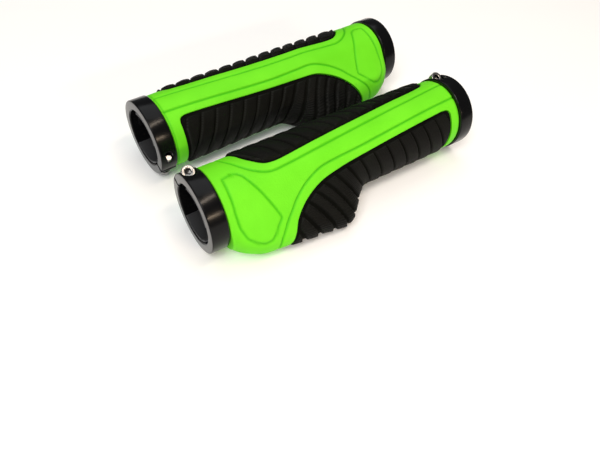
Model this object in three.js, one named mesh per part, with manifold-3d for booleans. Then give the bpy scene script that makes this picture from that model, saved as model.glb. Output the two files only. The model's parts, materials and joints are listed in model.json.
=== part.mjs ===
// A left and right pair of handlebar grips. Each is a rigid sleeve that slips over the bar, a soft body
// with a palm wing, two textured panels let into that body, and a clamp ring with one cap screw per end.
//
// Grip frame: the axis is X, starting at the outboard face; +Z is up and the wing points to -Y.
// An angle around the axis is 0 at the top and grows towards the wing.

import * as THREE from 'three';
import { mergeVertices } from 'three/addons/utils/BufferGeometryUtils.js';
import Module from 'manifold-3d';

const wasm = await Module();
wasm.setup();

// Driving dimensions, millimetres and degrees.
const gripLength = 137.2;      // over both clamp rings
const gap = 0.3;               // clearance between neighbouring pieces
const barBore = 11.1;          // radius, for a 22.2 mm bar
const sleeveRadius = 12.4;
const ringRadius = 17;
const ringWidth = 7.6;
const ringChamfer = 0.6;
const splitWidth = 1.5;
const bodyEnd = ringWidth + 0.4;

const wingAngle = 114;         // direction in which the wing points
const panelDepth = 1.6;        // how deep a panel is let into the body
const panelRise = 0.5;         // how far its mean surface stands out

const boltOffset = 14.2;       // bolt axis from the bar axis
const boltRadius = 1.5;
const boltTip = 8;             // bolt end, behind the split
const boltSeat = 6;            // underside of the head, ahead of the split
const headRadius = 2.75;
const headHeight = 3;
const socketRadius = 1.44;     // corner radius of the 2.5 mm hexagon
const socketDepth = 1.6;

const tabArcs = [[-19, 73], [131, 223]];   // sleeve tabs that reach under the rings
const tabRecess = 0.2;
const lugAngleFront = 102;     // middles of the two spaces between the tabs
const lugAngleBack = 282;
const lugWidth = 50;
const lugRadius = 11.5;

const rightGripAt = [138.11, 59.04];       // outboard end of the right grip, from that of the left one
const rightGripTurn = 3.3;

const limeRubber = { color: 0x7cf82f, roughness: 0.75, metalness: 0 };
const blackRubber = { color: 0x1a1c19, roughness: 0.7, metalness: 0 };
const blackNylon = { color: 0x1c1c1e, roughness: 0.6, metalness: 0 };
const blackAnodised = { color: 0x18181a, roughness: 0.3, metalness: 0.8 };
const brightSteel = { color: 0xd8dadc, roughness: 0.2, metalness: 1 };

const { degToRad, radToDeg } = THREE.MathUtils;
const alongBar = new THREE.Vector3(1, 0, 0);

// A smooth curve through a few [x, y] points, level beyond its ends.
function curveThrough(points) {
  const slopes = points.map((_, i) => {
    const before = points[Math.max(i - 1, 0)];
    const after = points[Math.min(i + 1, points.length - 1)];
    return (after[1] - before[1]) / (after[0] - before[0]);
  });
  return (x) => {
    const last = points.length - 1;
    if (x <= points[0][0]) return points[0][1];
    if (x >= points[last][0]) return points[last][1];
    const i = points.findIndex((p) => p[0] > x) - 1;
    const [x0, y0] = points[i];
    const [x1, y1] = points[i + 1];
    const h = x1 - x0;
    const t = (x - x0) / h;
    const rise = slopes[i] * h * t * (1 - t) ** 2 - slopes[i + 1] * h * t * t * (1 - t);
    return y0 + (y1 - y0) * t * t * (3 - 2 * t) + rise;
  };
}

// Along the grip: barrel radius, distance of the wing tip's centre from the axis, and its radius.
const barrelRadius = curveThrough([[8, 16.3], [30, 16.4], [60, 16.7], [85, 16.6], [115, 16.7], [129.2, 16.4]]);
const wingReach = curveThrough([
  [8, 9.7], [11, 12.7], [15, 15.2], [19, 17], [25, 18.3], [31, 19.6], [40, 21.4], [47, 22.1], [54, 23.2],
  [58, 23.3], [61.5, 21.6], [66, 17], [71, 12.2], [77, 9.4], [88, 9],
]);
const wingTipRadius = curveThrough([[8, 9], [20, 9], [28, 8.2], [36, 7.3], [45, 6.8]]);

// Radius of the soft body: the outline wrapped round the barrel circle and the wing-tip circle.
function surfaceRadius(u, angle) {
  const barrel = barrelRadius(u);
  const reach = wingReach(u);
  const tip = wingTipRadius(u);
  if (reach <= barrel - tip) return barrel;
  const turn = Math.abs(degToRad(((angle - wingAngle + 540) % 360) - 180));
  const flankNormal = Math.acos((barrel - tip) / reach);
  if (turn >= flankNormal) return barrel;
  const tipEdge = Math.atan2(tip * Math.sin(flankNormal), reach + tip * Math.cos(flankNormal));
  if (turn >= tipEdge) return barrel / Math.cos(flankNormal - turn);
  return reach * Math.cos(turn) + Math.sqrt(tip ** 2 - (reach * Math.sin(turn)) ** 2);
}

function around(u, angle, radius) {
  const a = degToRad(angle);
  return new THREE.Vector3(u, -radius * Math.sin(a), radius * Math.cos(a));
}

// A closed solid through equal loops of points. An open loft is capped straight across from the
// first half of each end loop to its second half.
function loft(loops, closed) {
  const n = loops[0].length;
  const positions = loops.flat().flatMap((p) => p.toArray());
  const index = [];
  const quad = (a, b, c, d) => index.push(a, b, c, a, c, d);
  const spans = closed ? loops.length : loops.length - 1;
  for (let k = 0; k < spans; k++) {
    const here = k * n;
    const next = ((k + 1) % loops.length) * n;
    for (let j = 0; j < n; j++) {
      const jn = (j + 1) % n;
      quad(here + j, here + jn, next + jn, next + j);
    }
  }
  if (!closed) {
    const end = (loops.length - 1) * n;
    for (let j = 0; j < n / 2 - 1; j++) {
      quad(j, n - 1 - j, n - 2 - j, j + 1);
      quad(end + j, end + j + 1, end + n - 2 - j, end + n - 1 - j);
    }
  }
  const geometry = new THREE.BufferGeometry();
  geometry.setAttribute('position', new THREE.Float32BufferAttribute(positions, 3));
  geometry.setIndex(index);
  return solid(geometry);
}

function solid(geometry) {
  const bare = geometry.clone();
  bare.deleteAttribute('normal');
  bare.deleteAttribute('uv');
  const merged = mergeVertices(bare, 1e-4);
  const vertProperties = Float32Array.from(merged.attributes.position.array);
  const triVerts = Uint32Array.from(merged.index.array);
  const point = (i) => new THREE.Vector3().fromArray(vertProperties, 3 * i);
  let volume = 0;
  for (let i = 0; i < triVerts.length; i += 3) {
    volume += point(triVerts[i]).dot(point(triVerts[i + 1]).cross(point(triVerts[i + 2])));
  }
  if (volume < 0) triVerts.reverse();
  return new wasm.Manifold(new wasm.Mesh({ numProp: 3, vertProperties, triVerts }));
}

// A named mesh of the solid, turned about the axis by twist(u) along the grip.
function part(name, body, look, twist = () => 0) {
  const { vertProperties, triVerts } = body.getMesh();
  for (let i = 0; i < vertProperties.length; i += 3) {
    const point = new THREE.Vector3().fromArray(vertProperties, i);
    point.applyAxisAngle(alongBar, degToRad(twist(point.x))).toArray(vertProperties, i);
  }
  const geometry = new THREE.BufferGeometry();
  geometry.setAttribute('position', new THREE.BufferAttribute(vertProperties, 3));
  geometry.setIndex(new THREE.BufferAttribute(triVerts, 1));
  geometry.computeVertexNormals();
  const mesh = new THREE.Mesh(geometry, new THREE.MeshStandardMaterial(look));
  mesh.name = name;
  return mesh;
}

function steps(from, to, count) {
  return Array.from({ length: count + 1 }, (_, i) => from + ((to - from) * i) / count);
}

// A tube about the axis whose wall runs between two radii given as functions of place.
function tube(stations, angles, inner, outer, innerStations = stations) {
  const loops = angles.map((a) => [
    ...stations.map((u) => around(u, a, outer(u, a))),
    ...innerStations.toReversed().map((u) => around(u, a, inner(u, a))),
  ]);
  return loft(loops, true);
}

// A curved plate on the axis: it spans the angles from low(u) to high(u) at each station.
function plate(stations, low, high, count, inner, outer) {
  const loops = stations.map((u) => {
    const angles = steps(low(u), high(u), count);
    return [
      ...angles.map((a) => around(u, a, outer(u, a))),
      ...angles.toReversed().map((a) => around(u, a, inner(u, a))),
    ];
  });
  return loft(loops, false);
}

// The outline of each panel: where it starts and ends along the grip, and its two long edges.
const upperPanel = {
  from: 21.5,
  to: 123.5,
  low: curveThrough([[21.5, -86], [25, -104], [32, -112], [60, -116], [112, -116], [120, -108], [123.5, -94]]),
  high: curveThrough([
    [21.5, -38], [23.5, -14], [26.5, 1], [30, 11], [34, 14], [39, 13.4], [50, 9], [66, 3], [97, -9], [119, -18],
    [123.5, -32],
  ]),
};
const palmPanel = {
  from: 29.5,
  to: 124,
  low: curveThrough([
    [29.5, 118], [33.2, 99.5], [38, 86.5], [44, 74.5], [51, 64.5], [60, 58.5], [70, 54.5], [97, 46], [120, 40.5],
    [124, 50],
  ]),
  high: curveThrough([[29.5, 134], [35, 150], [43, 158], [118, 158], [124, 148]]),
};

// How far the right grip's soft body is turned on its sleeve: its wing is carried higher.
const bodyTwist = curveThrough([[8, -13], [50, -13], [62, -9], [75, -6], [92, -4], [129.2, -2.5]]);

// The body's surface is laid out on these stations and angles, closest where it curves most.
const bodyStations = [bodyEnd, ...steps(13, 83, 11), 98, 114, gripLength - bodyEnd];
const bodyAngles = [...steps(-180, 84, 19), ...steps(92, 140, 6), 152, 166];

// The layer between two depths under, or heights over, the body's surface.
function skin(bottom, top) {
  return tube(bodyStations, bodyAngles, (u, a) => surfaceRadius(u, a) + bottom, (u, a) => surfaceRadius(u, a) + top);
}

// A wedge out from the axis with a panel's outline, shrunk by the inset.
function outlineWedge(panel, inset) {
  const degrees = radToDeg(inset / barrelRadius(60));
  const ends = [panel.from + inset, panel.to - inset];
  const stretch = (u) => panel.from + ((u - ends[0]) / (ends[1] - ends[0])) * (panel.to - panel.from);
  const cornerSteps = steps(0, 1, 3).map((t) => 5 * (1 - Math.cos((t * Math.PI) / 2)));
  const stations = [
    ...cornerSteps.map((d) => ends[0] + d),
    ...steps(ends[0] + 5, ends[1] - 5, 10).slice(1, -1),
    ...cornerSteps.toReversed().map((d) => ends[1] - d),
  ];
  const low = (u) => panel.low(stretch(u)) + degrees;
  const high = (u) => panel.high(stretch(u)) - degrees;
  return plate(stations, low, high, 3, () => barBore, () => 3 * ringRadius);
}

function coreSleeve() {
  const angles = steps(0, 360, 24).slice(0, -1);
  let sleeve = tube([bodyEnd, gripLength - bodyEnd], angles, () => barBore, () => sleeveRadius);
  for (const [from, to] of tabArcs) {
    for (const ends of [[tabRecess, bodyEnd + 1], [gripLength - bodyEnd - 1, gripLength - tabRecess]]) {
      const tab = plate(ends, () => from, () => to, 6, () => barBore, () => sleeveRadius);
      sleeve = sleeve.add(tab);
    }
  }
  return sleeve;
}

function rubberBody() {
  const boreStations = steps(bodyEnd, gripLength - bodyEnd, 5);
  const body = tube(bodyStations, bodyAngles, () => sleeveRadius + gap, surfaceRadius, boreStations);
  const pocket = (panel) => outlineWedge(panel, 0).intersect(skin(-panelDepth - gap, ringRadius));
  return body.subtract(pocket(upperPanel)).subtract(pocket(palmPanel));
}

function panelPlate(panel) {
  return outlineWedge(panel, 1.5 * gap).intersect(skin(-panelDepth, panelRise));
}

// Clamp ring with its split at the top, on the far side of the grip frame's origin face.
function clampRing(lugAngle) {
  const bore = sleeveRadius + gap;
  const profile = [
    [bore, 0], [ringRadius - ringChamfer, 0], [ringRadius, ringChamfer],
    [ringRadius, ringWidth - ringChamfer], [ringRadius - ringChamfer, ringWidth], [bore, ringWidth], [bore, 0],
  ].map(([r, x]) => new THREE.Vector2(r, x));
  const hoop = new THREE.LatheGeometry(profile, 36).rotateZ(-Math.PI / 2);

  const split = new THREE.BoxGeometry(ringWidth + 2, splitWidth, ringRadius).translate(ringWidth / 2, 0, ringRadius);
  const along = (radius, from, to, sides) => new THREE.CylinderGeometry(radius, radius, to - from, sides)
    .translate(0, -(from + to) / 2, 0).translate(ringWidth / 2, 0, boltOffset);
  const boltHole = along(boltRadius + gap, -ringRadius, boltSeat + 1, 12);
  const headRoom = along(headRadius + gap, boltSeat - gap, ringRadius, 16);
  const notchSize = [2 * (headRadius + gap), ringRadius - boltSeat + gap, ringRadius];
  const notch = new THREE.BoxGeometry(...notchSize)
    .translate(ringWidth / 2, -boltSeat + gap - notchSize[1] / 2, boltOffset + ringRadius / 2);

  const half = lugWidth / 2;
  const lug = plate(
    [ringWidth / 2, ringWidth - gap], () => lugAngle - half, () => lugAngle + half, 5,
    () => lugRadius, () => bore + 1,
  );
  return [split, boltHole, headRoom, notch].reduce((ring, cut) => ring.subtract(solid(cut)), solid(hoop).add(lug));
}

// Cap screw along the ring's tangent, head towards the wing side of the split.
function capScrew() {
  const head = boltSeat + headHeight;
  const profile = [
    [0, -boltTip], [boltRadius - 0.3, -boltTip], [boltRadius, -boltTip + 0.4], [boltRadius, boltSeat],
    [headRadius, boltSeat], [headRadius, head - 0.3], [headRadius - 0.3, head], [0, head],
  ].map(([r, y]) => new THREE.Vector2(r, y));
  const screw = new THREE.LatheGeometry(profile, 12);
  const socket = new THREE.CylinderGeometry(socketRadius, socketRadius, 2 * socketDepth, 6).translate(0, head, 0);
  return solid(screw).subtract(solid(socket));
}

// One grip in the grip frame. Its soft body may be set on the sleeve with a twist, and each ring
// is given by the angle of its split and of its lug.
function grip(side, twist, rings) {
  const group = new THREE.Group();
  group.add(
    part(`${side}_core_sleeve`, coreSleeve(), blackNylon),
    part(`${side}_rubber_body`, rubberBody(), limeRubber, twist),
    part(`${side}_upper_panel`, panelPlate(upperPanel), blackRubber, twist),
    part(`${side}_palm_panel`, panelPlate(palmPanel), blackRubber, twist),
  );
  for (const { end, split, lug } of rings) {
    const ringGroup = new THREE.Group();
    const outward = end === 'inboard';
    const ring = part(`${side}_${end}_ring`, clampRing(lug - split), blackAnodised);
    const bolt = part(`${side}_${end}_bolt`, capScrew(), brightSteel);
    bolt.position.set(ringWidth / 2, 0, boltOffset);
    bolt.rotation.z = Math.PI;
    ringGroup.add(ring, bolt);
    ringGroup.rotation.x = degToRad(split);
    if (outward) {
      ringGroup.scale.x = -1;
      ringGroup.position.x = gripLength;
    }
    group.add(ringGroup);
  }
  return group;
}

const left = grip('left', () => 0, [
  { end: 'outboard', split: -62, lug: lugAngleFront },
  { end: 'inboard', split: -62, lug: lugAngleFront },
]);
const right = grip('right', bodyTwist, [
  { end: 'outboard', split: 235, lug: lugAngleFront },
  { end: 'inboard', split: 122, lug: lugAngleBack },
]);
right.scale.x = -1;
right.rotation.z = degToRad(rightGripTurn);
right.position.set(...rightGripAt, 0);

// The pair stands on z = 0 with the origin at the middle of its footprint.
const pair = new THREE.Group();
pair.add(left, right);
pair.updateMatrixWorld(true);
const box = new THREE.Box3().setFromObject(pair, true);
const middle = box.getCenter(new THREE.Vector3());
pair.position.set(-middle.x, -middle.y, -box.min.z);

const gripPair = new THREE.Group();
gripPair.add(pair);

export default gripPair;
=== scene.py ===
import json
import bpy
import numpy as np
from math import acos, atan2, cos, pi, radians, sin
from mathutils import Matrix, Vector
from mathutils.kdtree import KDTree


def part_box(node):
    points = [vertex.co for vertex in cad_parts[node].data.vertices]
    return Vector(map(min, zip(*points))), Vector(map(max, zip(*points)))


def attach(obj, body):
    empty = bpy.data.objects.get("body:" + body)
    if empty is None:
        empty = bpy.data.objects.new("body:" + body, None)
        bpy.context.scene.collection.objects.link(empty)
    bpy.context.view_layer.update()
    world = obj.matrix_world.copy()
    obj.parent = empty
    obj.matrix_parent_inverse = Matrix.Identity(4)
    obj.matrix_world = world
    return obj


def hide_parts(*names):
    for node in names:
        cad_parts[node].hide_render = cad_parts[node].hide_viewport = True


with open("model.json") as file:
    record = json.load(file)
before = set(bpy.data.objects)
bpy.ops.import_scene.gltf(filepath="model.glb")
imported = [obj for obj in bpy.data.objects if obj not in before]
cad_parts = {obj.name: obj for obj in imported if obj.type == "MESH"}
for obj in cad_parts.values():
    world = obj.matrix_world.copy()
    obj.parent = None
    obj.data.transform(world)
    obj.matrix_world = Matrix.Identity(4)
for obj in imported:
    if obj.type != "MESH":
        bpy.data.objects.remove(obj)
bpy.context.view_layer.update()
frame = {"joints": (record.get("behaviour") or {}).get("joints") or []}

mm = 0.001
up = Vector((0, 0, 1))
sides = ("left", "right")
ends = ("outboard", "inboard")
print("frame loaded")


# Places, from the frame

def jointAxis(name):
    return Vector(next(j["axis"] for j in frame["joints"] if j["name"] == name))


def jointPoint(name):
    return Vector(next(j["pos_m"] for j in frame["joints"] if j["name"] == name))


def boxMiddle(node):
    low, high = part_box(node)
    return (Vector(low) + Vector(high)) / 2


gripLength = (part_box("left_inboard_ring")[1][0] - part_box("left_outboard_ring")[0][0]) / mm
ringWidth = (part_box("left_outboard_ring")[1][0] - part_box("left_outboard_ring")[0][0]) / mm
axisHeight = boxMiddle("left_core_sleeve").z


def gripMatrix(side):  # from the grip's own millimetres to the row: u along the bar, wing to -y
    outward = jointAxis(side + "_outboard_ring_slide")
    origin = boxMiddle(side + "_core_sleeve") + outward * gripLength / 2 * mm
    along = -outward
    across = up.cross(along if side == "left" else outward)
    turn = Matrix((along, across, up)).transposed().to_4x4()
    return Matrix.Translation(origin) @ turn @ Matrix.Scale(mm, 4)


# Camera, floor and light

view = {"lens": 31.84, "turn": (40.19, -3.608, -33.471), "fromGrip": (-48.755, -132.044, 158.229)}
lamps = {  # place and size in metres, strength in watts
    "key": {"at": (-0.45, -0.35, 0.80), "size": (0.45, 0.45), "power": 5.9, "colour": (1.0, 0.985, 0.96)},
    "sky": {"at": (0.15, 0.35, 0.95), "size": (0.9, 0.9), "power": 3.6, "colour": (0.96, 0.98, 1.0)},
    "topBand": {"at": (0.17, -0.33, 0.95), "size": (0.4, 0.05), "power": 2.6, "colour": (1.0, 0.84, 0.68)},
    "frontBand": {"at": (0.13, -0.92, 0.45), "size": (0.4, 0.05), "power": 3.0, "colour": (1.0, 0.78, 0.56)},
}
room = {"floor": (0.95, 0.95, 0.945), "air": (0.9, 0.95, 1.0), "airStrength": 0.09, "floorGlow": 0.10}


def makeCamera():
    data = bpy.data.cameras.new("camera")
    data.lens = view["lens"]
    data.clip_start = 0.01
    camera = bpy.data.objects.new("camera", data)
    camera.location = gripMatrix("left") @ Vector(view["fromGrip"])
    camera.rotation_euler = [radians(a) for a in view["turn"]]
    bpy.context.scene.collection.objects.link(camera)
    bpy.context.scene.camera = camera


def makeLamp(name, lamp):
    data = bpy.data.lights.new(name, "AREA")
    data.shape = "RECTANGLE"
    data.size, data.size_y = lamp["size"]
    data.energy = lamp["power"]
    data.color = lamp["colour"]
    obj = bpy.data.objects.new(name, data)
    obj.location = lamp["at"]
    obj.rotation_euler = (-Vector(lamp["at"])).to_track_quat("-Z", "Y").to_euler()
    bpy.context.scene.collection.objects.link(obj)


def makeStage():
    bpy.ops.mesh.primitive_plane_add(size=6)
    floor = bpy.context.object
    floor.name = "floor"
    material = bpy.data.materials.new("floorWhite")
    material.use_nodes = True
    shader = material.node_tree.nodes["Principled BSDF"]
    shader.inputs["Base Color"].default_value = (*room["floor"], 1)
    shader.inputs["Roughness"].default_value = 0.9
    shader.inputs["Emission Color"].default_value = (*room["floor"], 1)
    shader.inputs["Emission Strength"].default_value = room["floorGlow"]
    floor.data.materials.append(material)
    world = bpy.data.worlds.new("room")
    world.use_nodes = True
    background = world.node_tree.nodes["Background"]
    background.inputs["Color"].default_value = (*room["air"], 1)
    background.inputs["Strength"].default_value = room["airStrength"]
    bpy.context.scene.world = world
    bpy.context.scene.view_settings.view_transform = "Standard"


makeCamera()
for lampName, lamp in lamps.items():
    makeLamp(lampName, lamp)
makeStage()
print("camera and light set")


# Shader groups and materials

def newGroup(name, kind, inputs, outputs):
    tree = bpy.data.node_groups.new(name, kind)
    for label, socketType, value in inputs:
        made = tree.interface.new_socket(label, in_out="INPUT", socket_type=socketType)
        if value is not None:
            made.default_value = value
    for label, socketType in outputs:
        tree.interface.new_socket(label, in_out="OUTPUT", socket_type=socketType)
    return tree, tree.nodes.new("NodeGroupInput"), tree.nodes.new("NodeGroupOutput")


def mathNode(tree, operation, *values):
    node = tree.nodes.new("ShaderNodeMath")
    node.operation = operation
    for i, value in enumerate(values):
        feed(tree, value, node.inputs[i])
    return node.outputs[0]


def feed(tree, value, socket):
    if hasattr(value, "links"):
        tree.links.new(value, socket)
    else:
        socket.default_value = value


def makeGrain():  # moulded grain: pebbled height, and a slow variation for colour and roughness
    tree, start, end = newGroup(
        "mouldedGrain", "ShaderNodeTree",
        [("Grain Scale", "NodeSocketFloat", 2200.0), ("Patch Scale", "NodeSocketFloat", 60.0)],
        [("Height", "NodeSocketFloat"), ("Patches", "NodeSocketFloat")])
    place = tree.nodes.new("ShaderNodeTexCoord").outputs["Object"]
    pebble = tree.nodes.new("ShaderNodeTexVoronoi")
    pebble.feature = "SMOOTH_F1"
    speckle = tree.nodes.new("ShaderNodeTexNoise")
    patches = tree.nodes.new("ShaderNodeTexNoise")
    for node, scale in ((pebble, start.outputs[0]), (speckle, start.outputs[0]), (patches, start.outputs[1])):
        tree.links.new(place, node.inputs["Vector"])
        tree.links.new(scale, node.inputs["Scale"])
    tree.links.new(mathNode(tree, "MULTIPLY_ADD", speckle.outputs[0], 0.6, pebble.outputs[0]), end.inputs[0])
    tree.links.new(patches.outputs[0], end.inputs[1])
    return tree


grainGroup = makeGrain()
reliefDepth = 0.00012  # of the moulded grain and of the fine lines, in metres
looks = {
    # limeRubber's seamShade is painted shade, laid into the engraved seams
    "limeRubber": {"dark": (0.145, 0.71, 0.014), "light": (0.17, 0.77, 0.019), "seamShade": (0.035, 0.42, 0.002),
                   "rough": (0.50, 0.62), "grain": 1700, "bump": 0.5, "shine": 0.12},
    "blackRubber": {"dark": (0.003, 0.003, 0.0026), "light": (0.006, 0.0066, 0.0052),
                    # blackRubber's ribHighlight is a painted highlight on the ribs' raised edges
                    "ribHighlight": (0.045, 0.046, 0.042), "rough": (0.52, 0.66), "grain": 3200, "bump": 0.16,
                    "shine": 0.01, "ribShine": 0.07, "lineScale": 560, "lines": 0.9},
    "blackNylon": {"dark": (0.002, 0.002, 0.0023), "light": (0.004, 0.004, 0.0045),
                   # blackNylon's edgeHighlight is a painted highlight on the tabs' cut ends
                   "edgeHighlight": (0.10, 0.10, 0.105),
                   "rough": (0.30, 0.42), "grain": 1800, "bump": 0.06, "shine": 0.10},
}


def newMaterial(name):
    material = bpy.data.materials.new(name)
    material.use_nodes = True
    tree = material.node_tree
    return material, tree, tree.nodes["Principled BSDF"]


def ramp(tree, factor, low, high):
    node = tree.nodes.new("ShaderNodeMapRange")
    tree.links.new(factor, node.inputs["Value"])
    node.inputs["From Min"].default_value = 0.3
    node.inputs["From Max"].default_value = 0.7
    node.inputs["To Min"].default_value = low
    node.inputs["To Max"].default_value = high
    return node.outputs[0]


def mixColour(tree, factor, dark, light):
    node = tree.nodes.new("ShaderNodeMix")
    node.data_type = "RGBA"
    feed(tree, factor, node.inputs[0])
    for value, socket in ((dark, node.inputs[6]), (light, node.inputs[7])):
        feed(tree, value if hasattr(value, "links") else (*value, 1), socket)
    return node.outputs[2]


def attribute(tree, name):
    node = tree.nodes.new("ShaderNodeAttribute")
    node.attribute_name = name
    return node


def mouldedMaterial(name):
    look = looks[name]
    material, tree, shader = newMaterial(name)
    grain = tree.nodes.new("ShaderNodeGroup")
    grain.node_tree = grainGroup
    grain.inputs["Grain Scale"].default_value = look["grain"]
    colour = mixColour(tree, ramp(tree, grain.outputs["Patches"], 0.0, 1.0), look["dark"], look["light"])
    bump = tree.nodes.new("ShaderNodeBump")
    bump.inputs["Distance"].default_value = reliefDepth
    bump.inputs["Strength"].default_value = look["bump"]
    tree.links.new(grain.outputs["Height"], bump.inputs["Height"])
    tree.links.new(colour, shader.inputs["Base Color"])
    tree.links.new(ramp(tree, grain.outputs["Patches"], *look["rough"]), shader.inputs["Roughness"])
    tree.links.new(bump.outputs[0], shader.inputs["Normal"])
    shader.inputs["Specular IOR Level"].default_value = look["shine"]
    return material


def edgedMaterial():  # the sleeve: its cut ends get a painted highlight, a little lighter
    material = mouldedMaterial("blackNylon")
    tree = material.node_tree
    shader = tree.nodes["Principled BSDF"]
    plain = shader.inputs["Base Color"].links[0].from_socket
    highlighted = mixColour(tree, attribute(tree, "ribEdge").outputs["Fac"], plain, looks["blackNylon"]["edgeHighlight"])
    tree.links.new(highlighted, shader.inputs["Base Color"])
    return material


def ribbedMaterial():  # the panels: fine lines across each rib, and a painted highlight that makes the raised edges a little lighter
    look = looks["blackRubber"]
    material = mouldedMaterial("blackRubber")
    tree = material.node_tree
    shader = tree.nodes["Principled BSDF"]
    grainBump = next(n for n in tree.nodes if n.type == "BUMP")
    lines = tree.nodes.new("ShaderNodeTexWave")
    lines.inputs["Scale"].default_value = look["lineScale"]
    lines.inputs["Distortion"].default_value = 0.4
    tree.links.new(attribute(tree, "wrap").outputs["Vector"], lines.inputs["Vector"])
    lineBump = tree.nodes.new("ShaderNodeBump")
    lineBump.inputs["Distance"].default_value = reliefDepth
    top = attribute(tree, "ribTop").outputs["Fac"]
    tree.links.new(mathNode(tree, "MULTIPLY", top, look["lines"]), lineBump.inputs["Strength"])
    tree.links.new(lines.outputs["Fac"], lineBump.inputs["Height"])
    tree.links.new(grainBump.outputs[0], lineBump.inputs["Normal"])
    tree.links.new(lineBump.outputs[0], shader.inputs["Normal"])
    plain = shader.inputs["Base Color"].links[0].from_socket
    ribHighlight = attribute(tree, "ribEdge").outputs["Fac"]
    highlighted = mixColour(tree, mathNode(tree, "MULTIPLY", ribHighlight, 0.45), plain, look["ribHighlight"])
    tree.links.new(highlighted, shader.inputs["Base Color"])
    shine = mathNode(tree, "MULTIPLY_ADD", top, look["ribShine"], look["shine"])
    tree.links.new(shine, shader.inputs["Specular IOR Level"])
    return material


metals = {
    "blackAnodised": {"colour": (0.004, 0.004, 0.0045), "metallic": 0.1, "rough": (0.19, 0.23), "grain": 260,
                      "shine": 0.17, "faceShine": 0.62, "hollowShade": (0.02, 0.02, 0.02)},
    "brightSteel": {"colour": (0.34, 0.33, 0.32), "metallic": 1.0, "rough": (0.27, 0.33), "grain": 400,
                    "shine": 0.5, "faceShine": 0.0, "hollowShade": (0.02, 0.02, 0.02)},
}


def metalMaterial(name):
    look = metals[name]
    material, tree, shader = newMaterial(name)
    shader.inputs["Metallic"].default_value = look["metallic"]
    place = tree.nodes.new("ShaderNodeTexCoord").outputs["Object"]
    noise = tree.nodes.new("ShaderNodeTexNoise")
    noise.inputs["Scale"].default_value = look["grain"]
    noise.inputs["Detail"].default_value = 4
    tree.links.new(place, noise.inputs["Vector"])
    tree.links.new(ramp(tree, noise.outputs[0], *look["rough"]), shader.inputs["Roughness"])
    # painted shade: the screw's socket, marked by recess, is coloured near black
    hollowShade = mathNode(tree, "MULTIPLY", attribute(tree, "recess").outputs["Fac"], 0.8)
    tree.links.new(mixColour(tree, hollowShade, look["colour"], look["hollowShade"]), shader.inputs["Base Color"])
    turned = attribute(tree, "turnedFace").outputs["Fac"]
    shine = mathNode(tree, "MULTIPLY_ADD", turned, look["faceShine"], look["shine"])
    tree.links.new(shine, shader.inputs["Specular IOR Level"])
    return material


def seamShadedMaterial():  # the soft body: a deeper green painted down in the engraved seams as shade
    material = mouldedMaterial("limeRubber")
    tree = material.node_tree
    shader = tree.nodes["Principled BSDF"]
    plain = shader.inputs["Base Color"].links[0].from_socket
    deep = mathNode(tree, "MULTIPLY", attribute(tree, "grooved").outputs["Fac"], 0.8)
    tree.links.new(mixColour(tree, deep, plain, looks["limeRubber"]["seamShade"]), shader.inputs["Base Color"])
    return material


materials = {
    "limeRubber": seamShadedMaterial(),
    "blackRubber": ribbedMaterial(),
    "blackNylon": edgedMaterial(),
    "blackAnodised": metalMaterial("blackAnodised"),
    "brightSteel": metalMaterial("brightSteel"),
}
print("materials made")


# The grip's surface, in millimetres and degrees. Angles are 0 at the top and grow towards the wing.

def curveThrough(points):
    x, y = np.array(points, float).T
    before, after = np.maximum(np.arange(len(x)) - 1, 0), np.minimum(np.arange(len(x)) + 1, len(x) - 1)
    slope = (y[after] - y[before]) / (x[after] - x[before])

    def curve(value):
        v = np.clip(np.asarray(value, float), x[0], x[-1])
        i = np.clip(np.searchsorted(x, v, side="right") - 1, 0, len(x) - 2)
        h = x[i + 1] - x[i]
        t = (v - x[i]) / h
        rise = slope[i] * h * t * (1 - t) ** 2 - slope[i + 1] * h * t * t * (1 - t)
        return y[i] + (y[i + 1] - y[i]) * t * t * (3 - 2 * t) + rise

    return curve


body = {
    "bore": 12.7,
    "from": ringWidth + 0.4,
    "to": gripLength - ringWidth - 0.4,
    "barrel": curveThrough([(8, 16.3), (30, 16.4), (60, 16.7), (85, 16.6), (115, 16.7), (129.2, 16.4)]),
    "reach": curveThrough([(8, 9.7), (11, 12.7), (15, 15.2), (19, 17), (25, 18.3), (31, 19.6), (40, 21.4),
                           (47, 22.1), (54, 23.2), (58, 23.3), (61.5, 21.6), (66, 17), (71, 12.2), (77, 9.4),
                           (88, 9)]),
    "tipRadius": curveThrough([(8, 9), (20, 9), (28, 8.2), (36, 7.3), (45, 6.8)]),
    "wingAngle": 114,
    "endRound": 0.6,
    "endStep": 0.4,
    "lip": 0.14,            # how far the rubber's edge rounds off into a panel's pocket
    "pocket": 1.9,
    "seamWidth": 0.5,       # half width of the engraved seams
    "seamDepth": 0.5,
}
upperPanel = {
    "from": 21.5, "to": 123.5,
    "low": curveThrough([(21.5, -86), (25, -104), (32, -112), (60, -116), (112, -116), (120, -108),
                         (123.5, -94)]),
    "high": curveThrough([(21.5, -38), (23.5, -14), (26.5, 1), (30, 11), (34, 14), (39, 13.4), (50, 9),
                          (66, 3), (97, -9), (119, -18), (123.5, -32)]),
    "relief": {"Pitch": 7.02, "Groove Width": 0.75, "Wall": 0.4, "Border": 0.9, "Border Level": -0.3,
               "Rib Height": 1.25, "Lean": -0.2, "Crown": 0.5},
}
palmPanel = {
    "from": 29.5, "to": 124,
    "low": curveThrough([(29.5, 118), (33.2, 99.5), (38, 86.5), (44, 74.5), (51, 64.5), (60, 58.5),
                         (70, 54.5), (97, 46), (117, 41), (121.5, 41), (123.5, 44.5), (124, 50)]),
    "high": curveThrough([(29.5, 134), (35, 150), (43, 158), (118, 158), (124, 148)]),
    "relief": {"Pitch": 7.4, "Groove Width": 1.3, "Wall": 0.45, "Border": 1.2, "Border Level": -0.45,
               "Rib Height": 1.15, "Lean": 0.35, "Crown": 0.1},
}
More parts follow.
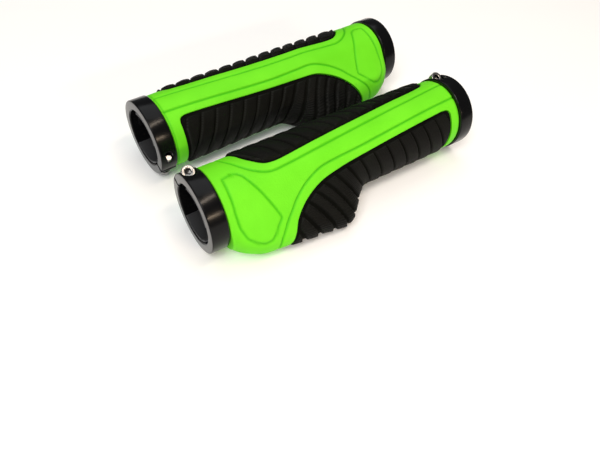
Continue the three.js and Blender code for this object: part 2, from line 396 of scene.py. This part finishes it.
seams = {  # the two engraved lines that frame the strip between the panels
    "upper": curveThrough([(10, -64), (14.5, -60), (16, -40), (17.3, -22), (21.6, 4), (26, 18.3), (31, 25.8),
                           (38.4, 25.3), (52, 21), (68, 15.5), (92, 7), (111, 1), (129.2, -6)]),
    "palm": curveThrough([(13, 160), (20, 146), (24, 127), (25.2, 113), (26.4, 102.5), (29.5, 94),
                          (33.8, 84.5), (38, 72.5), (44, 58.5), (51, 48), (58, 44.5), (74, 41), (92, 35.5),
                          (111, 30), (129.2, 26)]),
}
shieldCorners = [(12.1, 10.5), (16, 8.6), (18.2, 10.6), (19.9, 17), (24.7, 52), (28.9, 86), (27, 90),
                 (22.2, 99.5), (19.2, 100.5), (16, 99), (13, 94), (11.6, 83), (11.5, 63), (11.8, 42)]
twists = {"left": lambda u: np.zeros_like(u),
          "right": curveThrough([(8, -13), (50, -13), (62, -9), (75, -6), (92, -4), (129.2, -2.5)])}


def surfaceRadius(u, angle):
    barrel, reach, tip = body["barrel"](u), body["reach"](u), body["tipRadius"](u)
    turn = np.abs(np.radians((angle - body["wingAngle"] + 540) % 360 - 180))
    flank = np.arccos(np.clip((barrel - tip) / reach, -1, 1))
    tipEdge = np.arctan2(tip * np.sin(flank), reach + tip * np.cos(flank))
    atTip = reach * np.cos(turn) + np.sqrt(np.maximum(tip ** 2 - (reach * np.sin(turn)) ** 2, 0))
    onFlank = barrel / np.cos(np.minimum(flank - turn, 1.5))
    radius = np.where(turn >= flank, barrel, np.where(turn >= tipEdge, onFlank, atTip))
    return np.where(reach <= barrel - tip, barrel, radius)


def around(u, angle, radius):
    a = np.radians(angle)
    return np.stack([np.broadcast_to(u, np.shape(a)), -radius * np.sin(a), radius * np.cos(a)], -1)


def onSurface(u, angle, height=0.0):
    return around(u, angle, surfaceRadius(u, angle) + height)


def outward(u, angle):  # unit normals of the surface
    step = 0.05
    alongBar = onSurface(u + step, angle) - onSurface(u - step, angle)
    aroundBar = onSurface(u, angle + step) - onSurface(u, angle - step)
    normal = np.cross(aroundBar, alongBar)
    return normal / np.linalg.norm(normal, axis=-1, keepdims=True)


def distanceTo(points, line):  # shortest distance of each point to a line of close points
    tree = KDTree(len(line))
    for i, spot in enumerate(line):
        tree.insert(spot, i)
    tree.balance()
    flat = [tree.find(spot)[2] for spot in points.reshape(-1, 3)]
    return np.array(flat).reshape(points.shape[:-1])


def smooth(value, low, high):
    t = np.clip((value - low) / (high - low), 0, 1)
    return t * t * (3 - 2 * t)


def roundedLine(corners, step=0.25, ease=4):  # a closed (u, angle) line with its corners eased
    arc = np.array([1, 0.33])  # a degree is about a third of a millimetre
    loop = np.vstack([corners, corners[:1]]) * arc
    lengths = np.concatenate([[0], np.cumsum(np.linalg.norm(np.diff(loop, axis=0), axis=1))])
    spots = np.arange(0, lengths[-1], step)
    line = np.stack([np.interp(spots, lengths, loop[:, k]) for k in range(2)], -1)
    for _ in range(ease):
        line = (np.roll(line, 1, axis=0) + line + np.roll(line, -1, axis=0)) / 3
    return line / arc


def twisted(points, side):
    angle = np.radians(twists[side](points[..., 0]))
    y, z = points[..., 1], points[..., 2]
    turned = (y * np.cos(angle) - z * np.sin(angle), y * np.sin(angle) + z * np.cos(angle))
    return np.stack([points[..., 0], *turned], -1)


# Meshes

def gridFaces(rows, columns, wrapRows, wrapColumns):
    i = np.arange(rows if wrapRows else rows - 1)[:, None]
    j = np.arange(columns if wrapColumns else columns - 1)[None, :]
    nextRow, nextColumn = (i + 1) % rows, (j + 1) % columns
    return np.stack([i * columns + j, i * columns + nextColumn, nextRow * columns + nextColumn,
                     nextRow * columns + j], -1).reshape(-1, 4).tolist()


def newMesh(name, points, faces):
    mesh = bpy.data.meshes.new(name)
    mesh.from_pydata(np.asarray(points, float).tolist(), [], faces)
    mesh.update()
    return mesh


def isInsideOut(mesh):
    mesh.calc_loop_triangles()
    points = np.array([v.co for v in mesh.vertices])
    corners = points[np.array([t.vertices for t in mesh.loop_triangles])]
    return np.einsum("ij,ij->i", corners[:, 0], np.cross(corners[:, 1], corners[:, 2])).sum() < 0


def facingOut(mesh):
    if isInsideOut(mesh):
        mesh.flip_normals()
    return mesh


def addPiece(name, mesh, matrix, look, bodyName, node, sharpAngle):
    mesh.transform(matrix)
    facingOut(mesh)
    mesh.shade_smooth()
    mesh.set_sharp_from_angle(angle=radians(sharpAngle))
    piece = bpy.data.objects.new(name, mesh)
    bpy.context.scene.collection.objects.link(piece)
    if not mesh.materials:
        mesh.materials.append(materials[look])
    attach(piece, bodyName)
    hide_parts(node)
    return piece


def setAttribute(mesh, name, values, kind="FLOAT"):
    layer = mesh.attributes.new(name, kind, "POINT")
    layer.data.foreach_set("value" if kind == "FLOAT" else "vector", np.asarray(values, np.float32).ravel())


# Geometry Nodes: the raised ribs of a panel, laid over its surface

def named(tree, name, kind="FLOAT"):
    node = tree.nodes.new("GeometryNodeInputNamedAttribute")
    node.data_type = kind
    node.inputs["Name"].default_value = name
    return node.outputs["Attribute"]


def moveAndFinish(tree, start, end, geometry, direction, distance):
    # shifts each point, then sets the material
    shift = tree.nodes.new("ShaderNodeVectorMath")
    shift.operation = "SCALE"
    tree.links.new(direction, shift.inputs[0])
    tree.links.new(distance, shift.inputs["Scale"])
    setPosition = tree.nodes.new("GeometryNodeSetPosition")
    tree.links.new(geometry, setPosition.inputs["Geometry"])
    tree.links.new(shift.outputs[0], setPosition.inputs["Offset"])
    realize = tree.nodes.new("GeometryNodeRealizeInstances")
    tree.links.new(setPosition.outputs[0], realize.inputs[0])
    setMaterial = tree.nodes.new("GeometryNodeSetMaterial")
    tree.links.new(realize.outputs[0], setMaterial.inputs["Geometry"])
    tree.links.new(start.outputs["Material"], setMaterial.inputs["Material"])
    tree.links.new(setMaterial.outputs[0], end.inputs[0])


def makeRibTree():
    sizes = (("Pitch", 7.0), ("Groove Width", 1.0), ("Wall", 0.4), ("Border", 1.2), ("Border Level", -0.3),
             ("Rib Height", 0.8), ("Lean", 0.3), ("Crown", 0.1))
    inputs = [("Geometry", "NodeSocketGeometry", None)]
    inputs += [(label, "NodeSocketFloat", value) for label, value in sizes]
    inputs += [("Material", "NodeSocketMaterial", None)]
    outputs = [("Geometry", "NodeSocketGeometry")]
    tree, start, end = newGroup("raisedRibs", "GeometryNodeTree", inputs, outputs)
    size = {label: start.outputs[label] for label, _ in sizes}

    def field(name):
        return named(tree, name)

    def calc(operation, *values):
        return mathNode(tree, operation, *values)

    def step(value, low, high):
        node = tree.nodes.new("ShaderNodeMapRange")
        node.interpolation_type = "SMOOTHSTEP"
        for socket, source in zip(("Value", "From Min", "From Max"), (value, low, high)):
            feed(tree, source, node.inputs[socket])
        return node.outputs[0]

    def store(geometry, name, value):
        node = tree.nodes.new("GeometryNodeStoreNamedAttribute")
        node.data_type = "FLOAT"
        node.domain = "POINT"
        node.inputs["Name"].default_value = name
        tree.links.new(geometry, node.inputs["Geometry"])
        tree.links.new(value, node.inputs["Value"])
        return node.outputs[0]

    share = calc("FRACT", calc("DIVIDE", field("ribPlace"), size["Pitch"]))
    toMiddle = calc("ABSOLUTE", calc("SUBTRACT", share, 0.5))
    toGroove = calc("MULTIPLY", calc("SUBTRACT", 0.5, toMiddle), size["Pitch"])
    halfGroove = calc("MULTIPLY", calc("MULTIPLY", size["Groove Width"], 0.5), field("wide"))
    onRib = step(toGroove, halfGroove, calc("ADD", halfGroove, size["Wall"]))
    ribMask = calc("MAXIMUM", onRib, field("plain"))
    borderMask = step(field("inset"), size["Border"], calc("ADD", size["Border"], size["Wall"]))
    mask = calc("MULTIPLY", calc("MULTIPLY", ribMask, borderMask), field("show"))
    crown = calc("MULTIPLY", calc("MULTIPLY", toMiddle, toMiddle), calc("MULTIPLY", size["Crown"], 4.0))
    lean = calc("MULTIPLY", calc("SUBTRACT", 1.0, share), size["Lean"])
    shape = calc("SUBTRACT", calc("SUBTRACT", 1.0, lean), crown)
    raised = calc("MULTIPLY", calc("MULTIPLY", mask, shape), size["Rib Height"])
    height = calc("MULTIPLY", calc("ADD", raised, size["Border Level"]), field("top"))
    flank = calc("MULTIPLY", calc("MULTIPLY", mask, calc("SUBTRACT", 1.0, mask)), 4.0)
    # the edge mask, on each rib's inboard side, where a highlight is painted lighter
    edge = calc("MULTIPLY", flank, share)
    geometry = store(start.outputs["Geometry"], "ribTop", mask)
    geometry = store(geometry, "ribEdge", edge)
    moveAndFinish(tree, start, end, geometry, named(tree, "outward", "FLOAT_VECTOR"), height)
    return tree


def nodesApplied(mesh, tree, values):  # the mesh that a Geometry Nodes tree makes of this one
    carrier = bpy.data.objects.new("carrier", mesh)
    bpy.context.scene.collection.objects.link(carrier)
    modifier = carrier.modifiers.new("nodes", "NODES")
    modifier.node_group = tree
    for item in tree.interface.items_tree:
        if item.in_out == "INPUT" and item.name in values:
            modifier[item.identifier] = values[item.name]
    bpy.context.view_layer.update()
    made = bpy.data.meshes.new_from_object(carrier.evaluated_get(bpy.context.evaluated_depsgraph_get()))
    bpy.data.objects.remove(carrier)
    return made


ribTree = makeRibTree()


# Soft body

def spread(low, high, count, edge):  # angles from low to high in each row, with close ones at the edges
    share = np.linspace(0, 1, count)[None, :]
    inner = (low + edge)[:, None] * (1 - share) + (high - edge)[:, None] * share
    near = edge / 3
    return np.concatenate([low[:, None], (low + near)[:, None], inner, (high - near)[:, None]], 1)


def outline(panel, count=500):  # the panel's edge as close points on the surface
    u = np.linspace(panel["from"], panel["to"], count)
    low, high = onSurface(u, panel["low"](u)), onSurface(u, panel["high"](u))
    caps = []
    for end in (panel["from"], panel["to"]):
        angles = np.linspace(panel["low"](end), panel["high"](end), 60)
        caps.append(onSurface(np.full(60, float(end)), angles))
    return np.vstack([low, high, *caps])


def bodyRows():
    edges = []
    for panel in (upperPanel, palmPanel):
        for end, away in ((panel["from"], -1), (panel["to"], 1)):
            edges += [end, end + 0.12 * away, end + 0.3 * away, end - 0.06 * away]
    start, stop = body["from"] + body["endRound"], body["to"] - body["endRound"]
    rows = np.concatenate([np.arange(start, 34, 0.36), np.arange(34, stop, 0.5), [stop]])
    free = [u for u in rows if min(abs(u - e) for e in edges) > 0.1]
    return np.array(sorted(free + edges))


def bodyShape():  # points, and how deep in a seam each one is, before the side's twist
    u = bodyRows()
    seamUpper, seamPalm = seams["upper"](u), seams["palm"](u)
    upperHigh = np.minimum(upperPanel["high"](u), seamUpper - 4)
    upperLow = np.minimum(upperPanel["low"](u), upperHigh - 4)
    palmLow = np.maximum(palmPanel["low"](u), seamPalm + 4)
    palmHigh = np.maximum(palmPanel["high"](u), palmLow + 4)
    edge = 1.0
    groups = [(upperLow, upperHigh, 14, 0.6), (upperHigh, seamUpper, 15, edge),
              (seamUpper, seamPalm, 104, edge), (seamPalm, palmLow, 13, edge),
              (palmLow, palmHigh, 16, 0.6), (palmHigh, upperLow + 360, 34, edge)]
    angle = np.concatenate([spread(*group) for group in groups], 1)
    widths = [group[2] + 3 for group in groups]
    starts = np.concatenate([[0], np.cumsum(widths)])
    station = np.repeat(u[:, None], angle.shape[1], 1)
    surface = onSurface(station, angle)

    depth = np.zeros(angle.shape)
    line = np.linspace(body["from"], body["to"], 5000)
    # the seams fade out underneath
    shown = {"upper": smooth(angle, -70, -35), "palm": 1 - smooth(angle, 120, 150)}
    for name, share in shown.items():
        seamLine = onSurface(line, seams[name](line))
        near = np.exp(-(distanceTo(surface, seamLine) / body["seamWidth"]) ** 2)
        depth -= body["seamDepth"] * near * share
    shield = roundedLine(np.array(shieldCorners, float))
    shieldLine = onSurface(shield[:, 0], shield[:, 1])
    nearShield = (station < 36) & (angle > -5) & (angle < 125)
    shieldGap = distanceTo(surface[nearShield], shieldLine)
    depth[nearShield] -= body["seamDepth"] * np.exp(-(shieldGap / body["seamWidth"]) ** 2)

    endStep = smooth(station, body["to"] - 1.25, body["to"] - 1.0)  # a shallow step beside the inboard ring
    depth -= body["endStep"] * endStep
    for k, panel in ((0, upperPanel), (4, palmPanel)):
        lipGap = distanceTo(surface, outline(panel))
        depth -= body["lip"] * np.exp(-(lipGap / 0.22) ** 2)
        inRows = (u > panel["from"] + 0.03) & (u < panel["to"] - 0.03)
        inColumns = np.arange(starts[k] + 1, starts[k + 1])
        depth[np.ix_(inRows, inColumns)] = -body["pocket"]
    outer = around(station, angle, surfaceRadius(station, angle) + depth)

    def endRing(row, place, drop):
        ring = around(np.full(angle.shape[1], place), angle[row],
                      surfaceRadius(station[row], angle[row]) + depth[row] - drop)
        return ring[None]

    r = body["endRound"]
    turns = (0, pi / 8, pi / 4, 3 * pi / 8)
    first = [endRing(0, body["from"] + r * (1 - cos(t)), r * (1 - sin(t))) for t in turns]
    last = [endRing(-1, body["to"] - r * (1 - cos(t)), r * (1 - sin(t))) for t in turns[::-1]]
    boreSpots = np.linspace(body["to"], body["from"], 12)
    bore = []
    for place in boreSpots:
        t = (place - body["from"]) / (body["to"] - body["from"])
        boreAngle = angle[0] * (1 - t) + angle[-1] * t
        bore.append(around(np.full(angle.shape[1], place), boreAngle, body["bore"])[None])
    points = np.concatenate([*first, outer, *last, *bore], 0)
    rows, columns = points.shape[:2]
    # grooved: how deep in a seam each point is, later used to paint shade into the seams
    grooved = np.zeros((rows, columns))
    grooved[len(first):len(first) + len(u)] = np.clip(-depth / body["seamDepth"], 0, 1)
    return points, grooved


def makeBody(side, points, grooved):
    faces = gridFaces(*grooved.shape, True, True)
    mesh = newMesh(side + "RubberBody", twisted(points, side).reshape(-1, 3), faces)
    setAttribute(mesh, "grooved", grooved)
    addPiece(side + "RubberBody", mesh, gripMatrix(side), "limeRubber", side + "_grip",
             side + "_rubber_body", 50)


# Textured panels

panelDepth = 1.6
panelGap = 0.3
wrapRadius = 17  # turns an angle into a length round the grip, for the fine lines


def upperRibPlace(u, angle):  # grooves cross the panel with a lean that grows towards the back
    back = np.maximum(6 - 0.42 * (u - 38.4) - angle, -10)
    back = np.where(back < 48, back, 72 - 24 * np.exp((48 - back) / 24))
    return u + 0.13 * back + 0.0008 * back ** 2 - 38.4


palmLean = curveThrough([(20, 0.36), (38, 0.35), (50, 0.275), (58, 0.22), (65, 0.17), (72, 0.13), (80, 0.12)])


def palmRibPlace(u, angle):  # steep grooves on the wing, flatter ones on the barrel
    past = np.where(angle < 105, angle - 60, 45 + 0.45 * (angle - 105))
    place = np.array(u, float)
    for _ in range(25):
        place = 0.5 * place + 0.5 * (u - palmLean(place) * past)
    return place - 33.9


def panelShape(panel, ribPlace, columns, plain, show, widen):  # before the side's twist
    gap = panelGap
    start, stop = panel["from"] + gap, panel["to"] - gap
    close = np.array([0, 0.1, 0.3, 0.6, 1.0, 1.45, 1.9, 2.35])
    rows = np.concatenate([start + close, np.arange(start + 2.8, stop - 2.8, 0.42), stop - close[::-1]])
    stretch = panel["from"] + (rows - start) / (stop - start) * (panel["to"] - panel["from"])
    inset = np.degrees(gap / 16.6)
    low, high = panel["low"](stretch) + inset, panel["high"](stretch) - inset
    near = np.array([0, 0.35, 1.0])
    share = np.linspace(0, 1, columns)[None, :]
    middle = (low + 2)[:, None] * (1 - share) + (high - 2)[:, None] * share
    angle = np.concatenate([low[:, None] + near, middle, high[:, None] - near[::-1]], 1)
    station = np.repeat(rows[:, None], angle.shape[1], 1)
    surface = onSurface(station, angle)
    normal = outward(station, angle)
    edgeGap = distanceTo(surface, outline(panel)) - gap
    top = surface - normal * 0.2 * np.exp(-(np.maximum(edgeGap, 0) / 0.15) ** 2)[..., None]
    under = (low[:, None] * (1 - share[:, ::8]) + high[:, None] * share[:, ::8])[:, ::-1]
    underStation = np.repeat(rows[:, None], under.shape[1], 1)
    bottom = around(underStation, under, surfaceRadius(underStation, under) - panelDepth)
    fields = {"ribPlace": ribPlace(station, angle), "inset": edgeGap, "wide": widen(station),
              "plain": plain(station, angle), "show": show(angle), "top": np.ones(angle.shape)}
    arc = np.radians(angle) * wrapRadius
    wrap = np.stack([arc * mm, station * mm, np.zeros(arc.shape)], -1)
    return top, bottom, normal, fields, wrap


def makePanel(side, shape, relief, name):
    top, bottom, normal, fields, wrap = shape
    loops = np.concatenate([top, bottom], 1)
    count, width = loops.shape[:2]
    faces = gridFaces(count, width, False, True)
    faces += [list(range(width))[::-1], list(range((count - 1) * width, count * width))]
    mesh = newMesh(name, twisted(loops, side).reshape(-1, 3), faces)
    turned = twisted(top + normal, side) - twisted(top, side)
    for field, values in {**fields, "outward": turned, "wrap": wrap}.items():
        full = np.zeros((count, width, *values.shape[2:]))
        full[:, :top.shape[1]] = values
        setAttribute(mesh, field, full, "FLOAT" if values.ndim == 2 else "FLOAT_VECTOR")
    return nodesApplied(mesh, ribTree, {**relief, "Material": materials["blackRubber"]})


def firstTile(u, angle):  # the upper panel's outboard end has no grooves
    return 1 - smooth(upperRibPlace(u, angle), -3.6, -3.4)


def noTile(u, angle):
    return np.zeros(u.shape)


def shownBehind(angle):
    return smooth(angle, -112, -104)


def shownBelow(angle):
    return 1 - smooth(angle, 140, 156)


def palmWide(u):  # grooves are widest on the wing
    return 0.55 + 0.75 * (1 - smooth(u, 60, 80))


def evenly(u):
    return np.ones(u.shape)


def makePanels(side, shapes):
    for word, (panel, shape) in shapes.items():
        mesh = makePanel(side, shape, panel["relief"], side + word + "Panel")
        addPiece(side + word + "Panel", mesh, gripMatrix(side), "blackRubber", side + "_grip",
                 f"{side}_{word.lower()}_panel", 60)


# Core sleeve with its end tabs

sleeve = {"bore": 11.1, "radius": 12.4, "tabs": ((-19, 73), (131, 223)), "recess": 0.2, "edge": 0.25,
          "tabRelief": 0.4}


def makeSleeve(side):
    angles, starts = [], []
    firstTab, secondTab = sleeve["tabs"]
    for (low, high), nextLow in ((firstTab, secondTab[0]), (secondTab, firstTab[0] + 360)):
        tab, void = np.linspace(low, high, 47), np.linspace(high + 0.5, nextLow - 0.5, 47)
        angles += [*tab, *void]
        starts += [sleeve["recess"]] * len(tab) + [body["from"]] * len(void)
    angles, starts = np.array(angles), np.array(starts)
    e, bore, radius = sleeve["edge"], sleeve["bore"], sleeve["radius"]
    tab = radius - sleeve["tabRelief"]
    loop, edges = [], []
    for nearEnd in (True, False):
        profile = ((e, tab), (0, tab - e), (0, bore + e), (e, bore))
        for inset, r in (profile[::-1] if nearEnd else profile):
            place = starts + inset if nearEnd else gripLength - starts - inset
            loop.append(around(place, angles, r))
            edges.append(1.0 if r > bore + e else 0.4)
        if nearEnd:
            outerSpots = np.linspace(12, gripLength - 12, 9)
            outerRow = [(ringWidth + 0.7, tab), (ringWidth + 0.9, radius)]
            outerRow += [(s, radius) for s in outerSpots]
            outerRow += [(gripLength - s, r) for s, r in outerRow[1::-1]]
            loop += [around(np.full(angles.shape, s), angles, r) for s, r in outerRow]
            edges += [0] * 4
        else:
            loop += [around(np.full(angles.shape, s), angles, bore) for s in outerSpots[::-1]]
        edges += [0] * len(outerSpots)
    points = np.stack(loop, 0)
    rows, columns = points.shape[:2]
    mesh = newMesh(side + "CoreSleeve", points.reshape(-1, 3), gridFaces(rows, columns, True, True))
    # ribEdge here marks the tabs' edges, where the painted highlight goes
    setAttribute(mesh, "ribEdge", np.repeat(np.array(edges, float), columns))
    addPiece(side + "CoreSleeve", mesh, gripMatrix(side), "blackNylon", side + "_grip",
             side + "_core_sleeve", 40)


# Clamp rings and their cap screws

ring = {"bore": 12.7, "boreEdge": 0.45, "radius": 17.0, "chamfer": 0.55, "soften": 0.12, "split": 1.5,
        "boltOffset": 14.2, "hole": 1.75, "seat": 5.7, "headRoom": 3.05, "lug": 50, "lugRadius": 11.5,
        "lugOuter": 13.4, "lugGap": 0.3}
screw = {"shank": 1.5, "tip": -8.0, "seat": 6.0, "head": 2.75, "height": 3.0, "socket": 1.44,
         "socketDepth": 1.6, "chamfer": 0.35, "facets": 60, "Thread Pitch": 0.5, "Thread Depth": 0.27}
lugAngles = {("left", "outboard"): 102, ("left", "inboard"): 102,
             ("right", "outboard"): 102, ("right", "inboard"): 282}


def applied(obj, name):  # the mesh of an object with its modifiers in it
    mesh = bpy.data.meshes.new_from_object(obj.evaluated_get(bpy.context.evaluated_depsgraph_get()))
    mesh.name = name
    bpy.data.objects.remove(obj)
    return mesh


def looseObject(mesh):
    obj = bpy.data.objects.new("tool", mesh)
    bpy.context.scene.collection.objects.link(obj)
    return obj


def loftedArc(profile, low, high, count):  # an (x, radius) outline swept from one angle to another
    angles = np.linspace(low, high, count)
    n = len(profile)
    points = np.stack([around(profile[:, 0], np.full(n, a), profile[:, 1]) for a in angles], 0)
    faces = gridFaces(count, n, False, True)
    faces += [list(range(n)), list(range((count - 1) * n, count * n))[::-1]]
    return facingOut(newMesh("arc", points.reshape(-1, 3), faces))


def rodAlong(radius, start, stop, count=40):  # a rod on the screw's line, which runs to -y at the ring's top
    angles = np.linspace(0, 2 * pi, count, endpoint=False)
    x = ringWidth / 2 + radius * np.cos(angles)
    z = ring["boltOffset"] + radius * np.sin(angles)
    rows = [np.stack([x, np.full(count, -y), z], -1) for y in (start, stop)]
    faces = gridFaces(2, count, False, True) + [list(range(count)), list(range(count, 2 * count))[::-1]]
    return facingOut(newMesh("rod", np.concatenate(rows), faces))


def blockBetween(low, high):
    corners = [(x, y, z) for x in (low[0], high[0]) for y in (low[1], high[1]) for z in (low[2], high[2])]
    faces = [(0, 1, 3, 2), (4, 6, 7, 5), (0, 4, 5, 1), (2, 3, 7, 6), (0, 2, 6, 4), (1, 5, 7, 3)]
    return facingOut(newMesh("block", corners, faces))


def ringMesh(lugAngle):
    c, w = ring["chamfer"], ringWidth
    corner = [(c * (1 - sin(t)), ring["radius"] - c * (1 - cos(t))) for t in np.linspace(0, pi / 2, 6)]
    outer = [(x, r) for x, r in corner[::-1]] + [(w - x, r) for x, r in corner]
    e = ring["boreEdge"]
    inner = [(w, ring["bore"] + e), (w - e, ring["bore"]), (e, ring["bore"]), (0, ring["bore"] + e)]
    halfSplit = np.degrees(ring["split"] / 2 / 15)
    hoop = looseObject(loftedArc(np.array(outer + inner), halfSplit, 360 - halfSplit, 181))
    low, high, back = ring["lugRadius"], ring["lugOuter"], w - ring["lugGap"]
    lugProfile = np.array([(w / 2, low), (back, low), (back, high), (w / 2, high)])
    lug = loftedArc(lugProfile, lugAngle - ring["lug"] / 2, lugAngle + ring["lug"] / 2, 26)
    half = ring["headRoom"]
    beside = blockBetween((w / 2 - half, -20, ring["boltOffset"]), (w / 2 + half, -ring["seat"], 24))
    cuts = [(rodAlong(ring["hole"], -20, 8), "DIFFERENCE"),
            (rodAlong(half, ring["seat"], 20, 56), "DIFFERENCE"),
            (beside, "DIFFERENCE"), (lug, "UNION")]
    tools = []
    for tool, operation in cuts:
        other = looseObject(tool)
        tools.append(other)
        modifier = hoop.modifiers.new("cut", "BOOLEAN")
        modifier.object = other
        modifier.operation = operation
        modifier.solver = "EXACT"
    bevel = hoop.modifiers.new("soften", "BEVEL")
    bevel.width = ring["soften"]
    bevel.segments = 2
    bevel.limit_method = "ANGLE"
    bevel.angle_limit = radians(50)
    bpy.context.view_layer.update()
    mesh = applied(hoop, "clampRing")
    for tool in tools:
        bpy.data.objects.remove(tool)
    turned = mesh.attributes.new("turnedFace", "FLOAT", "FACE")  # the flat ends reflect more than the rim
    turned.data.foreach_set("value", [float(abs(face.normal.x) > 0.95) for face in mesh.polygons])
    return mesh


def makeThreadTree():  # cuts a screw thread into a shank's surface
    inputs = [("Geometry", "NodeSocketGeometry", None), ("Thread Pitch", "NodeSocketFloat", 0.5),
              ("Thread Depth", "NodeSocketFloat", 0.25), ("Material", "NodeSocketMaterial", None)]
    outputs = [("Geometry", "NodeSocketGeometry")]
    tree, start, end = newGroup("screwThread", "GeometryNodeTree", inputs, outputs)
    place = mathNode(tree, "DIVIDE", named(tree, "along"), start.outputs["Thread Pitch"])
    share = mathNode(tree, "FRACT", mathNode(tree, "ADD", place, named(tree, "turn")))
    flank = mathNode(tree, "ABSOLUTE", mathNode(tree, "MULTIPLY_ADD", share, 2.0, -1.0))
    threaded = mathNode(tree, "MULTIPLY", flank, named(tree, "threaded"))
    cut = mathNode(tree, "MULTIPLY", threaded, start.outputs["Thread Depth"])
    inward = named(tree, "inward", "FLOAT_VECTOR")
    moveAndFinish(tree, start, end, start.outputs["Geometry"], inward, cut)
    return tree


def screwMesh():  # a cap screw on the z axis, head up
    s = screw
    c, top = s["chamfer"], s["seat"] + s["height"]
    shank = np.arange(s["tip"] + 0.35, s["seat"] - 0.2, 0.0625)
    profile = [(0.02, s["tip"]), (s["shank"] - 0.4, s["tip"]), (s["shank"] - 0.1, s["tip"] + 0.3)]
    profile += [(s["shank"], z) for z in shank]
    profile += [(s["shank"], s["seat"]), (s["head"] - 0.15, s["seat"]), (s["head"], s["seat"] + 0.15)]
    profile += [(s["head"] - c * (1 - cos(t)), top - c * (1 - sin(t))) for t in np.linspace(0, pi / 2, 6)]
    plainCount = len(profile)
    profile += [(s["socket"] + 0.28, top), (s["socket"] + 0.05, top - 0.12), (s["socket"], top - 0.25),
                (s["socket"], top - s["socketDepth"]), (0.02, top - s["socketDepth"] - 0.5)]
    facets = s["facets"]
    angles = np.linspace(0, 2 * pi, facets, endpoint=False)
    hexagon = cos(pi / 6) / np.cos((angles + pi / 6) % (pi / 3) - pi / 6)
    rows = []
    for k, (r, z) in enumerate(profile):
        shape = hexagon if k > plainCount else 1.0
        reach = r * shape
        rows.append(np.stack([reach * np.cos(angles), reach * np.sin(angles), np.full(facets, z)], -1))
    points = np.stack(rows, 0)
    count = len(profile)
    faces = gridFaces(count, facets, False, True)
    faces += [list(range(facets))[::-1], list(range((count - 1) * facets, count * facets))]
    mesh = newMesh("capScrew", points.reshape(-1, 3), faces)
    radius, height = (np.repeat(np.array(profile)[:, k], facets) for k in (0, 1))
    onShank = (radius > s["shank"] - 0.15) & (radius < s["shank"] + 0.01) & (height < s["seat"] - 1.5)
    setAttribute(mesh, "turn", np.tile(angles / (2 * pi), count))
    setAttribute(mesh, "along", -height)
    setAttribute(mesh, "threaded", onShank.astype(float))
    # recess marks the hex socket, where shade is painted in
    setAttribute(mesh, "recess", np.repeat(np.arange(count) > plainCount + 1, facets).astype(float))
    across = -np.stack([np.cos(angles), np.sin(angles), np.zeros(facets)], -1)
    inward = np.tile(across, (count, 1))
    setAttribute(mesh, "inward", inward, "FLOAT_VECTOR")
    values = {key: s[key] for key in ("Thread Pitch", "Thread Depth")}
    return nodesApplied(mesh, makeThreadTree(), {**values, "Material": materials["brightSteel"]})


def ringMatrix(side, end):  # from a ring's own millimetres: outer face at x = 0, split on top, head to -y
    slideAxis = jointAxis(f"{side}_{end}_ring_slide")
    headAxis = jointAxis(f"{side}_{end}_screw_turn")
    face = boxMiddle(side + "_core_sleeve") + slideAxis * gripLength / 2 * mm
    along, across = -slideAxis, -headAxis
    middle = jointPoint(f"{side}_{end}_screw_turn") - face
    radial = (middle - along * middle.dot(along)).normalized()
    turn = Matrix((along, across, radial)).transposed().to_4x4()
    return Matrix.Translation(face) @ turn @ Matrix.Scale(mm, 4), radial


def makeClamps(side):
    for end in ends:
        matrix, radial = ringMatrix(side, end)
        wingward = gripMatrix(side).to_3x3() @ Vector((0, -1, 0))
        splitAngle = np.degrees(atan2(radial.dot(wingward.normalized()), radial.z))
        word = side + end.capitalize()
        mesh = ringMesh(lugAngles[side, end] - splitAngle)
        addPiece(word + "Ring", mesh, matrix, "blackAnodised", f"{side}_{end}_clamp",
                 f"{side}_{end}_ring", 30)
        along = Matrix.Translation((ringWidth / 2, 0, ring["boltOffset"])) @ Matrix.Rotation(pi / 2, 4, "X")
        addPiece(word + "Screw", screwMaster.copy(), matrix @ along, "brightSteel", f"{side}_{end}_screw",
                 f"{side}_{end}_bolt", 30)


screwMaster = screwMesh()
softBody = bodyShape()
panelShapes = {
    "Upper": (upperPanel, panelShape(upperPanel, upperRibPlace, 84, firstTile, shownBehind, evenly)),
    "Palm": (palmPanel, panelShape(palmPanel, palmRibPlace, 92, noTile, shownBelow, palmWide)),
}
print("surfaces shaped")
for side in sides:
    makeSleeve(side)
    makeBody(side, *softBody)
    print(side, "body made")
    makePanels(side, panelShapes)
    print(side, "panels made")
    makeClamps(side)
    print(side, "clamps made")
